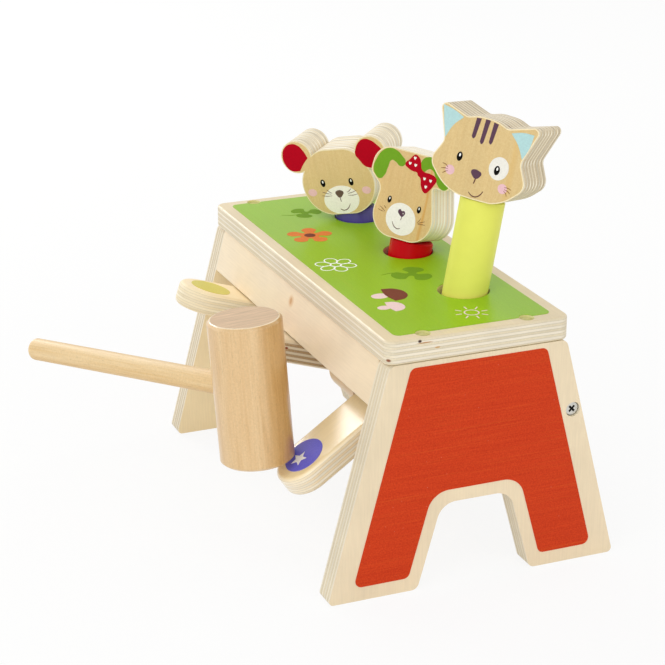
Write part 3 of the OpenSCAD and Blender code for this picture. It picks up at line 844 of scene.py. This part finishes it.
TOP_SCREW_FACE = BENCH_HEIGHT - TOP_SCREW_SINK + SCREW_HEAD_T
RAIL_SCREW_FACE = TOP_HALF_LENGTH - RAIL_SCREW_SINK + SCREW_HEAD_T
dress("top_screws", zinc_steel("zinc plated steel, top screws", (0, 0, 1), TOP_SCREW_FACE))
dress("rail_screws", zinc_steel("zinc plated steel, rail screws", (1, 0, 0), RAIL_SCREW_FACE))

ORANGE = ("#d5451b", "#be310e")
green = screen_print("green screen ink", TOP_BOARD, "#97c317", "#8cb80f", 0, roughness=0.3, sheen=0.19)
dress("top_print", green)
dress("near_leg_print", screen_print("orange screen ink, near leg", NEAR_LEG, *ORANGE, 1))
dress("far_leg_print", screen_print("orange screen ink, far leg", FAR_LEG, *ORANGE, 1))
dress("near_dot", screen_print("violet screen ink", NEAR_LEVER, "#7672dc", "#6863cf", 0))
dress("middle_dot", screen_print("crimson screen ink", MIDDLE_LEVER, "#b81a26", "#a3101c", 0))
dress("far_dot", screen_print("yellow screen ink", FAR_LEVER, "#e0d56c", "#d6ca5e", 0))

dress("cat_peg", gloss_paint("yellow paint", peg_place("cat"), "#e6e768", 0.4, 0.15))
dress("dog_peg", gloss_paint("red paint", peg_place("dog"), "#cc0412", 0.25, 0.1))
dress("mouse_peg", gloss_paint("violet paint", peg_place("mouse"), "#584d9e"))


# Heads

TANS = {"cat": ("#dfc58d", "#d4b47a"), "dog": ("#e4c48a", "#dab478"), "mouse": ("#e6cb93", "#dcbd82")}
# A resinous streak in a face: its place across the face, width, colour and strength
STAINS = {"cat": (18.0, 2.4, "#d9b062", 0.45), "dog": (11.6, 0.9, "#d99a38", 0.75)}
# A knot in a head's edge: its place, size and colour
HEAD_FLECKS = {"cat": [((39.6, -9.6, 7.4), (1.6, 2.6, 0.45), "#7a4a2c")]}
# Plies of the thick heads differ more in tone than those of the boards
HEAD_TONES = (0.84, 1.1)
FACE_RIM = 0.5
# The rim's faces are small, and the printed face inside it is large
PRINTED_AREA = 20 * MM * MM
# Least cosine to the way out of the face for a surface of the front arris
ARRIS_TURN = 0.2
# Tones of each head's edges, set as painted light and shade: the dog's and the mouse's lighter for the
# shade they stand in, and the cat's darker
EDGES = {
    "cat": {"edge_pale": "#f2e8cf", "end_grain": "#c8b084", "glue": 0.66},
    "dog": {"edge_pale": "#fff9e6", "end_grain": "#f6e4c2", "glue": 0.8},
    "mouse": {"edge_pale": "#fdf5e0", "end_grain": "#e8d6b0", "glue": 0.74},
}

for animal in HEADS:
    place = head_place(animal)
    # Grain runs up the face, so the board's x is the face's y
    ply_place = place @ turned("Z", 90)
    ply = birch_plywood(
        animal, ply_place, -HEAD_T / 2, HEAD_PLIES, HEAD_PLY_T, **EDGES[animal],
        edge_tones=HEAD_TONES, flecks=HEAD_FLECKS.get(animal, ()),
    )
    tan = face_veneer(f"tan printed veneer, {animal}", place, *TANS[animal], stain=STAINS.get(animal))
    # The tint stops short of the edge, and sanding keeps the arris bare
    bare = face_veneer(f"sanded birch arris, {animal}", place, "#f6e8c4", "#efdcb0")
    head = softened(
        f"{animal}_head", animal, place, [(FACE_ARRIS, face_arris)], [ply, tan, bare],
        rim=FACE_RIM,
    )
    out = place.col[2].to_3d()
    paint_faces(head, bare, lambda face: face.normal.dot(out) > ARRIS_TURN)
    paint_faces(head, tan, lambda face: face.normal.dot(out) > FLAT_FRONT and face.area > PRINTED_AREA)

black_ink = ink("black screen ink", "#070605", 0.5)
white_ink = ink("white screen ink", "#fbfbf7")
cream_ink = ink("cream screen ink", "#f9f4ef")
ivory_ink = ink("ivory screen ink", "#edeae2")
sage_white_ink = ink("pale sage screen ink", "#fefaf2")
plum_ink = ink("plum screen ink", "#5e4355")
umber_ink = ink("umber screen ink", "#6c584d")
line_ink = ink("brown line ink", "#66423c")
fawn_ink = ink("fawn line ink", "#91673f")
pink_ink = ink("pink screen ink", "#eabfc6")
dusty_pink_ink = ink("dusty pink screen ink", "#f1c5c8")
sky_ink = ink("pale blue screen ink", "#b4d8d9")
leaf_ink = ink("leaf green screen ink", "#74a528")
red_ink = ink("red screen ink", "#b8001e")

FACE = HEAD_T / 2


def face_print(animal, part, outlines, ink_used, film=FILM):
    name = f"{animal}_{part}"
    flat_print(name, head_place(animal), FACE, outlines, ink_used, animal, film)


def face_lines(animal, part, lines, width, ink_used, taper=0.6):
    name = f"{animal}_{part}"
    place = head_place(animal)
    strokes(name, place, FACE, lines, width, ink_used, animal, LINE_FILM, taper)


def eyes(animal, places, width, height, lean):
    """Black oval eyes with a white glint, which lies above the middle and is a third as large."""
    pupils = []
    glints = []
    for x, y in places:
        pupils.append(oval(x, y, width, height, lean))
        glints.append(oval(x + 0.02 * width, y + 0.16 * height, width * 0.31, height * 0.35, lean))
    face_print(animal, "eyes", pupils, black_ink, film=EYE_FILM)
    face_print(animal, "eye_glints", glints, white_ink, film=GLINT_FILM)


# Cat
cat_ear_left = [
    (-25.8, 41.1, CORNER), (-19.0, 39.9), (-13.6, 37.9, CORNER), (-18.3, 32.6), (-21.2, 25.8, CORNER),
    (-23.7, 33.5),
]
cat_ear_right = [
    (25.2, 39.7, CORNER), (24.3, 33.2), (21.8, 26.7, CORNER), (18.2, 32.6), (13.3, 37.4, CORNER),
    (19.0, 39.3),
]
face_print("cat", "ear_patches", [cat_ear_left, cat_ear_right], sky_ink)
face_print("cat", "eye_patch", [oval(10.9, 19.1, 10.4, 11.6, -20)], ivory_ink)
eyes("cat", [(-11.1, 19.0), (10.2, 18.0)], 3.0, 4.7, -6)
cat_nose = [(-3.2, 14.1), (-1.6, 15.2), (0.8, 15.0), (2.5, 14.1), (1.9, 12.2), (0.0, 10.8), (-2.2, 11.9)]
face_print("cat", "nose", [cat_nose], plum_ink)
face_lines("cat", "nose_line", [[(-0.1, 11.0), (-0.3, 9.6), (-0.6, 8.3)]], 0.7, line_ink, taper=0.8)
cat_mouth = [(-2.2, 3.5), (-0.2, 2.3), (2.2, 2.3), (4.2, 3.8), (5.5, 6.0)]
face_lines("cat", "mouth", [cat_mouth], 0.6, line_ink)
face_print("cat", "cheeks", [oval(-14.7, 11.2, 5.0, 4.8), oval(15.2, 10.2, 5.0, 4.8)], pink_ink)
cat_whiskers = [
    [(-19.4, 13.3), (-17.6, 13.1), (-15.9, 12.0)], [(-19.6, 10.7), (-17.6, 11.2), (-15.8, 11.2)],
    [(-18.3, 8.5), (-17.1, 9.6), (-15.7, 10.4)], [(16.0, 11.2), (18.0, 11.4), (20.0, 10.9)],
    [(16.2, 10.2), (18.0, 10.0), (19.7, 9.0)], [(16.0, 9.5), (17.3, 8.8), (18.2, 7.3)],
]
face_lines("cat", "whiskers", cat_whiskers, 0.42, fawn_ink)
cat_stripes = [
    [(-6.6, 39.6, CORNER), (-4.0, 39.9, CORNER), (-5.2, 30.5, CORNER), (-6.2, 29.4), (-7.2, 30.4, CORNER)],
    [(-1.6, 40.2, CORNER), (1.0, 40.3, CORNER), (-0.3, 29.0, CORNER), (-1.2, 27.9), (-2.3, 28.9, CORNER)],
    [(3.0, 39.9, CORNER), (5.6, 39.6, CORNER), (4.4, 30.2, CORNER), (3.5, 29.1), (2.5, 30.1, CORNER)],
]
face_print("cat", "stripes", cat_stripes, plum_ink)

# Dog
dog_muzzle = [
    (-9.8, 9.6), (-8.9, 14.8), (-5.2, 18.2), (0.0, 18.9), (5.0, 16.5), (7.6, 11.8), (7.2, 6.6),
    (3.5, 3.3), (-2.0, 2.6), (-7.2, 5.0),
]
face_print("dog", "muzzle", [dog_muzzle], cream_ink)
eyes("dog", [(-9.7, 19.3), (8.4, 17.9)], 2.3, 3.7, -5)
dog_nose = [
    (-3.4, 14.7), (-2.3, 15.8), (-1.2, 15.0), (0.0, 15.3), (0.9, 14.3), (0.4, 12.9), (-0.6, 11.8, CORNER),
    (-2.4, 13.0),
]
face_print("dog", "nose", [dog_nose], plum_ink, film=OVER_FILM)
face_print("dog", "nose_glint", [oval(-0.2, 13.9, 0.45, 0.75, 25)], cream_ink, film=MARK_FILM)
face_lines("dog", "nose_line", [[(-0.6, 12.0), (-0.8, 11.1), (-0.9, 10.2)]], 0.45, line_ink, taper=0.8)
dog_mouth = [(-5.7, 8.6), (-4.6, 6.8), (-3.0, 5.7), (-1.6, 5.5), (-0.3, 6.1)]
face_lines("dog", "mouth", [dog_mouth], 0.5, line_ink)
dog_whiskers = [
    [(-15.4, 12.9), (-13.6, 12.5), (-11.9, 12.3)], [(-14.5, 14.6), (-12.7, 13.7), (-11.1, 12.6)],
    [(-12.1, 15.4), (-11.4, 14.8), (-10.6, 14.2)], [(8.7, 11.1), (9.7, 12.4), (10.4, 13.9)],
    [(9.2, 10.8), (11.0, 11.9), (13.1, 12.8)], [(9.5, 10.5), (11.5, 10.9), (13.5, 11.1)],
]
face_lines("dog", "whiskers", dog_whiskers, 0.4, fawn_ink)
dog_ear_left = [
    (-22.7, 33.0), (-21.9, 38.2), (-19.0, 43.2), (-15.2, 45.2), (-10.4, 44.6), (-7.2, 42.6), (-4.8, 40.4),
    (-5.4, 38.0), (-7.6, 37.4), (-10.4, 38.9), (-13.0, 39.3), (-14.3, 35.6), (-15.4, 30.9), (-17.9, 28.5),
    (-20.9, 30.0),
]
dog_ear_right = [
    (4.3, 41.4), (5.2, 44.0), (7.6, 45.5), (11.0, 45.8), (15.4, 45.0), (19.4, 42.4), (22.0, 38.4),
    (22.6, 34.6), (22.2, 32.4), (20.5, 31.0), (18.4, 31.1), (16.1, 32.7), (14.4, 35.6), (13.3, 37.7),
    (12.2, 39.1), (10.3, 39.8), (8.4, 38.9), (6.9, 37.6), (5.0, 38.4),
]
face_print("dog", "ear_patches", [dog_ear_left, dog_ear_right], leaf_ink)
dog_bow = [
    (-4.7, 39.1), (-2.6, 42.1), (-0.9, 44.4), (0.3, 45.2), (1.6, 44.8), (3.2, 43.6), (4.5, 41.0),
    (5.2, 38.9), (7.2, 37.6), (10.5, 37.4), (14.2, 36.3), (15.1, 34.8), (14.3, 32.7), (11.6, 28.4),
    (10.3, 27.1), (8.8, 27.4), (6.8, 30.0), (5.3, 34.1), (3.8, 35.0), (3.0, 36.3), (0.4, 36.5),
    (-2.6, 37.5),
]
face_print("dog", "bow", [dog_bow], red_ink, film=OVER_FILM)
heart = [(0.0, -0.9, CORNER), (0.75, 0.1), (0.5, 0.75), (0.0, 0.4, CORNER), (-0.5, 0.75), (-0.75, 0.1)]
bow_hearts = [(0.3, 43.3), (-2.0, 40.1), (1.4, 39.8), (8.0, 34.2), (11.7, 33.9), (9.6, 30.3)]
face_print("dog", "bow_hearts", [shifted(heart, x, y) for x, y in bow_hearts], white_ink, film=MARK_FILM)

# Mouse
mouse_muzzle = [
    (-10.3, 9.3), (-7.8, 13.5), (-3.7, 16.0), (1.3, 16.7), (6.3, 15.5), (9.8, 12.3), (10.6, 8.0),
    (8.6, 4.1), (4.5, 1.5), (-1.4, 0.9), (-6.6, 2.3), (-9.7, 5.4),
]
face_print("mouse", "muzzle", [mouse_muzzle], sage_white_ink)
eyes("mouse", [(-9.2, 18.7), (7.7, 18.6)], 2.7, 4.2, 6)
mouse_nose = [(-2.8, 13.2), (-1.5, 14.1), (0.8, 14.1), (2.0, 13.0), (1.2, 11.3), (-0.6, 10.0), (-2.2, 11.2)]
face_print("mouse", "nose", [mouse_nose], umber_ink, film=OVER_FILM)
face_lines("mouse", "nose_line", [[(-0.6, 10.2), (-0.5, 9.0), (-0.2, 7.7)]], 0.5, line_ink, taper=0.8)
mouse_mouth = [(-1.6, 3.6), (-0.4, 2.9), (1.2, 2.8), (3.1, 3.8), (4.8, 6.2)]
face_lines("mouse", "mouth", [mouse_mouth], 0.55, line_ink)
mouse_cheeks = [oval(-16.5, 13.7, 5.2, 4.1, -8), oval(15.9, 13.4, 5.2, 4.1, -8)]
face_print("mouse", "cheeks", mouse_cheeks, dusty_pink_ink)
mouse_whiskers = [
    [(-7.7, 14.9), (-6.4, 13.6), (-4.8, 12.7)], [(-10.4, 13.6), (-8.0, 12.8), (-5.5, 12.2)],
    [(-11.0, 11.6), (-8.0, 11.2), (-5.0, 11.3)], [(4.1, 12.8), (5.6, 13.6), (6.9, 14.8)],
    [(4.5, 12.0), (7.0, 12.6), (9.8, 13.5)], [(4.5, 11.1), (7.5, 11.0), (10.4, 11.5)],
]
face_lines("mouse", "whiskers", mouse_whiskers, 0.4, line_ink)
mouse_ear_left = [
    (-30.2, 36.0), (-28.2, 40.0), (-24.2, 41.9), (-20.2, 41.0), (-17.4, 37.8), (-15.4, 33.4, CORNER),
    (-18.6, 30.2), (-21.4, 26.4, CORNER), (-26.4, 26.8), (-29.6, 30.4),
]
mouse_ear_right = [
    (13.3, 33.8), (14.4, 37.3), (16.7, 40.4), (19.7, 41.9), (23.6, 41.0), (26.8, 38.4), (29.4, 34.6),
    (28.6, 30.6), (25.8, 27.0), (21.0, 25.6, CORNER), (17.9, 26.8), (15.0, 30.6),
]
face_print("mouse", "ear_patches", [mouse_ear_left, mouse_ear_right], red_ink)


# Garden motifs on the green print, in plain generic shapes

TOP_FACE = TOP_BOARD @ moved(0, 0, PLY)
orange_ink = ink("orange screen ink, motif", "#e2803f")
deep_green_ink = ink("deep green screen ink", "#739b20")
brown_ink = ink("russet screen ink", "#7a4030")
blush_ink = ink("blush screen ink", "#f0d2cf")


def top_print(part, outlines, ink_used, film=FILM):
    flat_print(f"garden_{part}", TOP_FACE, PRINT_T, outlines, ink_used, "frame", film)


def top_lines(part, lines, width, ink_used, taper=0.6):
    name = f"garden_{part}"
    strokes(name, TOP_FACE, PRINT_T, lines, width, ink_used, "frame", FILM, taper)


def petals(x, y, reach, size, count):
    """Ovals in a ring round a point, a third longer than wide."""
    ring = []
    for i in range(count):
        way = 360 * i / count
        u, v = polar(reach, way)
        ring.append(oval(x + u, y + v, size * 1.3, size, way, count=8))
    return ring


def lobed(x, y, outer, inner, count, turn):
    """Points round a shape with rounded lobes, like a flower or a clover leaf.

    Each lobe has a notch, a tip and two shoulders.
    """
    points = []
    half = 180 / count
    shoulder = 0.82 * outer
    for i in range(count):
        middle = turn + 2 * half * i
        for off, reach in ((-1.0, inner), (-0.62, shoulder), (0.0, outer), (0.62, shoulder)):
            u, v = polar(reach, middle + off * half)
            points.append((x + u, y + v))
    return points


FLOWER = (-44.0, -21.0)
top_print("flower_petals", [lobed(*FLOWER, 12.5, 5.0, 5, 18.0)], orange_ink)
top_print("flower_heart", [oval(*FLOWER, 6.0, 6.0)], brown_ink, film=OVER_FILM)
FAR_CLOVER = (-82.0, -8.0)
NEAR_CLOVER = (34.0, 3.0)
top_print("clover_far", [lobed(*FAR_CLOVER, 9.0, 2.0, 3, 90.0)], deep_green_ink)
top_print("clover_near", [lobed(*NEAR_CLOVER, 11.0, 2.4, 3, 30.0)], deep_green_ink)
clover_stems = [
    shifted([(0.0, -2.0), (1.5, -8.0), (-1.0, -14.0)], *FAR_CLOVER),
    shifted([(0.0, -2.0), (-5.0, -8.0), (-4.5, -15.0)], *NEAR_CLOVER),
]
top_lines("clover_stems", clover_stems, 1.1, deep_green_ink)
DAISY = (6.0, -27.0)
daisy = [*petals(*DAISY, 6.6, 6.4, 6), oval(*DAISY, 5.6, 5.6)]
top_lines("daisy", [closed(outline) for outline in daisy], 0.7, white_ink, taper=1.0)
mushroom_cap = [(-9.0, 0.0, CORNER), (-7.2, 6.3), (0.0, 9.6), (7.2, 6.3), (9.0, 0.0, CORNER), (0.0, -1.4)]
mushroom_stem = [(-2.2, -0.8), (-2.6, -7.5), (0.0, -8.8), (2.6, -7.5), (2.2, -0.8)]
BROWN_MUSHROOM = (58.0, -21.0)
PINK_MUSHROOM = (74.0, -27.0)
PINK_SIZE = 0.75
mushroom_stems = [
    shifted(mushroom_stem, *BROWN_MUSHROOM), shifted(mushroom_stem, *PINK_MUSHROOM, PINK_SIZE),
]
top_print("mushroom_stems", mushroom_stems, blush_ink)
top_print("mushroom_brown", [shifted(mushroom_cap, *BROWN_MUSHROOM)], brown_ink, film=OVER_FILM)
top_print("mushroom_pink", [shifted(mushroom_cap, *PINK_MUSHROOM, PINK_SIZE)], blush_ink, film=OVER_FILM)
SUN = (96.0, 6.0)
SUN_RAYS = 8
RAY_ENDS = (5.2, 8.4)
sun_lines = [closed(oval(*SUN, 7.0, 7.0))]
for i in range(SUN_RAYS):
    ray = [polar(reach, 360 * i / SUN_RAYS) for reach in RAY_ENDS]
    sun_lines.append(shifted(ray, *SUN))
top_lines("sun", sun_lines, 0.7, blush_ink, taper=1.0)

# A pale star in the violet dot, 3 mm off its middle and partly behind the mallet's foot
STAR_X = -DOT_REACH - 3.0
STAR_POINTS = 5
STAR_TIP = 4.8
STAR_WAIST = 2.2
STAR_TURN = 20
star = []
for i in range(2 * STAR_POINTS):
    reach = STAR_WAIST if i % 2 else STAR_TIP
    u, v = polar(reach, 180 * i / STAR_POINTS + STAR_TURN)
    star.append((STAR_X + u, v, CORNER))
lever_top = NEAR_LEVER @ moved(0, 0, LEVER_T / 2)
flat_print("near_dot_star", lever_top, PRINT_T, [star], cream_ink, "near_lever")


# Camera, fitted to the photograph at 665 by 665 pixels

CAMERA_AT = (935.94, -371.95, 476.47)
AZIMUTH, ELEVATION, ROLL = 67.243, 20.751, 0.128
FOCAL_PX = 2081.456
FRAME_PX = 665

az, el, roll = (math.radians(a) for a in (AZIMUTH, ELEVATION, ROLL))
back = Vector((math.sin(az) * math.cos(el), -math.cos(az) * math.cos(el), math.sin(el)))
right = Vector((math.cos(az), math.sin(az), 0))
up = back.cross(right)
right, up = right * math.cos(roll) + up * math.sin(roll), up * math.cos(roll) - right * math.sin(roll)
view = bpy.data.cameras.new("view")
view.sensor_width = 36.0
view.lens = FOCAL_PX / FRAME_PX * view.sensor_width
view.clip_end = 20.0
camera = bpy.data.objects.new("view", view)
turn = Matrix((right, up, back)).transposed().to_4x4()
turn.translation = Vector(CAMERA_AT) * MM
camera.matrix_world = turn
scene.collection.objects.link(camera)
scene.camera = camera


# Floor, world and lamps

# Metres from the floor's middle to its edges
FLOOR_HALF = 4.0
# Share of plain white in the floor that the camera sees, which keeps its shadow faint
FLOOR_WHITE = 0.86
# Brightness of the white studio as light on the bench
STUDIO_LIGHT = 0.67
# What the lamps aim at, in metres
MIDDLE = Vector((0.0, 0.0, 0.12))


def shows_white(tree_owner):
    """One for the rays that meet a plain white sweep: the camera's, mirrored and transmitted ones."""
    path = add(tree_owner, "LightPath").node.outputs
    mirrored = add(
        tree_owner, "Math",
        {0: path["Is Glossy Ray"], 1: path["Is Transmission Ray"]}, operation="MAXIMUM",
    )
    return add(tree_owner, "Math", {0: path["Is Camera Ray"], 1: mirrored}, operation="MAXIMUM")


def pale_floor():
    """A plain white sweep that keeps a soft shadow under the bench."""
    material = new_material("white floor")
    plain = add(material, "BsdfDiffuse", {"Color": linear("#f4f4f2")})
    glow = add(material, "Emission", {"Color": linear("#ffffff"), "Strength": 1.0})
    seen = add(material, "Math", {0: shows_white(material), 1: FLOOR_WHITE}, operation="MULTIPLY")
    mixed = add(material, "MixShader", {0: seen, 1: plain, 2: glow})
    add(material, "OutputMaterial", {"Surface": mixed})
    return material


floor_shape = bmesh.new()
bmesh.ops.create_grid(floor_shape, x_segments=1, y_segments=1, size=FLOOR_HALF)
floor_mesh = bpy.data.meshes.new("floor")
floor_shape.to_mesh(floor_mesh)
floor_shape.free()
floor = bpy.data.objects.new("floor", floor_mesh)
floor_mesh.materials.append(pale_floor())
scene.collection.objects.link(floor)

world = bpy.data.worlds.new("studio")
scene.world = world
world.use_nodes = True
world.node_tree.nodes.clear()
strength = add(world, "MapRange", {"Value": shows_white(world), "To Min": STUDIO_LIGHT, "To Max": 1.0})
sky = add(world, "Background", {"Color": linear("#ffffff"), "Strength": strength})
add(world, "OutputWorld", {"Surface": sky})


def lamp(name, place, power, size):
    """A round softbox that faces the bench. Its place and size are metres and its power watts."""
    light = bpy.data.lights.new(name, "AREA")
    light.energy = power
    light.shape = "DISK"
    light.size = size
    lamp_object = bpy.data.objects.new(name, light)
    lamp_object.location = place
    lamp_object.rotation_euler = (MIDDLE - Vector(place)).to_track_quat("-Z", "Y").to_euler()
    scene.collection.objects.link(lamp_object)


lamp("key softbox", (0.8, -1.35, 1.3), 7.3, 1.1)
lamp("front softbox", (1.45, -0.8, 0.7), 3.6, 1.2)
lamp("right softbox", (1.6, 0.5, 0.9), 3.6, 1.2)
lamp("back reflector", (-1.5, -0.3, 0.85), 8.0, 0.7)
lamp("left strip", (-0.95, -0.8, 0.95), 1.0, 0.18)
lamp("right strip", (-0.45, 1.35, 0.75), 1.4, 0.18)

scene.view_settings.view_transform = "Standard"
